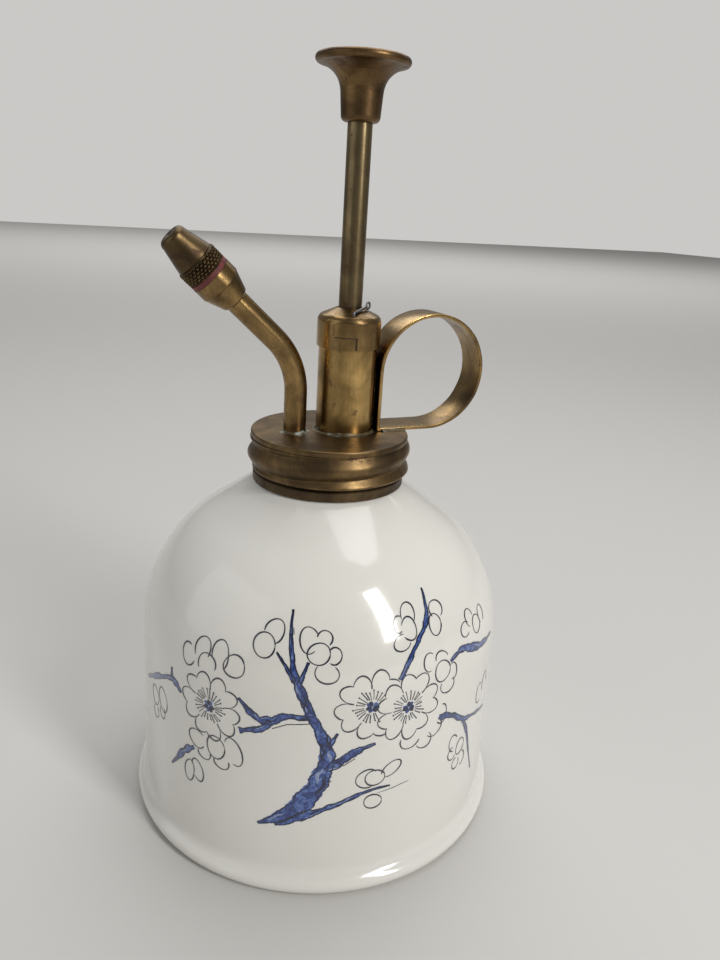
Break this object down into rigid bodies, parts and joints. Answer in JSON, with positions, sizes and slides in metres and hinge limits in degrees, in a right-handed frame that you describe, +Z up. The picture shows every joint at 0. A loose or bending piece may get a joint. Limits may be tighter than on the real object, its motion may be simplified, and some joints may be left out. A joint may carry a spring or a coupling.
{
  "type": "hand mister",
  "caption": "Plunger-pump plant mister: brass pump head with bent spout and finger ring, screwed onto a white glazed bell-shaped bottle with a blue blossom spray.",
  "frame": {"origin": "centre of the bottle's foot, on the surface it stands on", "axes": "+Z up along the bottle's axis, +X towards the finger ring, -X towards the spout"},
  "size_m": [0.1, 0.1, 0.1862],
  "materials": {
    "white_glaze": "glossy warm-white glaze with a blue and dark-line blossom spray",
    "aged_brass": "aged, brushed, olive-brown patina",
    "dark_brass": "dark bronze-brown patina, satin",
    "inner_brass": "machined, dull from water",
    "steel": "grey spring steel",
    "red_rubber": "matte burgundy",
    "leather": "oiled",
    "cement": "chalky",
    "solder": "dull solder with pale green verdigris"
  },
  "bodies": {
    "bottle": {"bottle": "white_glaze", "neck_cement": "cement", "neck_collar": "dark_brass"},
    "cap_washer": {"cap_gasket": "leather"},
    "pump_head": {"cap_plate": "aged_brass", "cap_screw_ring": "aged_brass", "pump_barrel": "aged_brass", "bayonet_lugs": "aged_brass", "spring_seat": "inner_brass", "valve_block": "inner_brass", "passage_plug": "inner_brass", "inlet_stop_pin": "steel", "discharge_stop": "inner_brass", "dip_tube": "inner_brass", "dip_strainer": "inner_brass", "spout_tube": "aged_brass", "nozzle_body": "aged_brass", "swirl_core": "inner_brass", "finger_ring": "aged_brass", "barrel_solder": "solder", "spout_solder": "solder", "ring_solder": "solder", "return_spring": "steel"},
    "barrel_cap": {"barrel_cap": "aged_brass", "rod_guide": "inner_brass", "rod_packing": "leather", "cap_pin": "steel"},
    "plunger": {"plunger_rod": "aged_brass", "plunger_knob": "dark_brass", "piston_washer": "inner_brass", "piston_cup": "leather", "piston_nut": "inner_brass"},
    "inlet_ball": {"inlet_ball": "steel"},
    "discharge_ball": {"discharge_ball": "steel"},
    "nozzle_washer": {"nozzle_gasket": "red_rubber"},
    "nozzle_cap": {"nozzle_cap": "dark_brass"}
  },
  "joints": [
    {"name": "cap_lift", "type": "slide", "parent": "bottle", "child": "cap_washer", "axis": [0, 0, 1], "range_m": [0, 0.00675]},
    {"name": "cap_turn", "type": "hinge", "parent": "cap_washer", "child": "pump_head", "pos_m": [0, 0, 0], "axis": [0, 0, 1], "range_deg": [0, 450]},
    {"name": "barrel_cap_turn", "type": "hinge", "parent": "pump_head", "child": "barrel_cap", "pos_m": [0.0038, 0, 0], "axis": [0, 0, -1], "range_deg": [0, 40]},
    {"name": "plunger_press", "type": "slide", "parent": "pump_head", "child": "plunger", "axis": [0, 0, -1], "range_m": [0, 0.038], "stiffness_N_per_m": 220, "springref_m": -0.02, "deforming": ["return_spring"]},
    {"name": "inlet_ball_lift", "type": "slide", "parent": "pump_head", "child": "inlet_ball", "axis": [0, 0, 1], "range_m": [0, 0.001]},
    {"name": "discharge_ball_lift", "type": "slide", "parent": "pump_head", "child": "discharge_ball", "axis": [0, 0, 1], "range_m": [0, 0.001]},
    {"name": "nozzle_cap_travel", "type": "slide", "parent": "pump_head", "child": "nozzle_washer", "axis": [-0.7314, 0, 0.682], "range_m": [0, 0.0015]},
    {"name": "nozzle_cap_turn", "type": "hinge", "parent": "nozzle_washer", "child": "nozzle_cap", "pos_m": [-0.02473, 0, 0.13303], "axis": [-0.7314, 0, 0.682], "range_deg": [0, 720]}
  ],
  "couplings": [
    {"joint": "cap_turn", "follows": "cap_lift", "rad_per_m": 1163.6},
    {"joint": "nozzle_cap_turn", "follows": "nozzle_cap_travel", "rad_per_m": 8377.6}
  ]
}
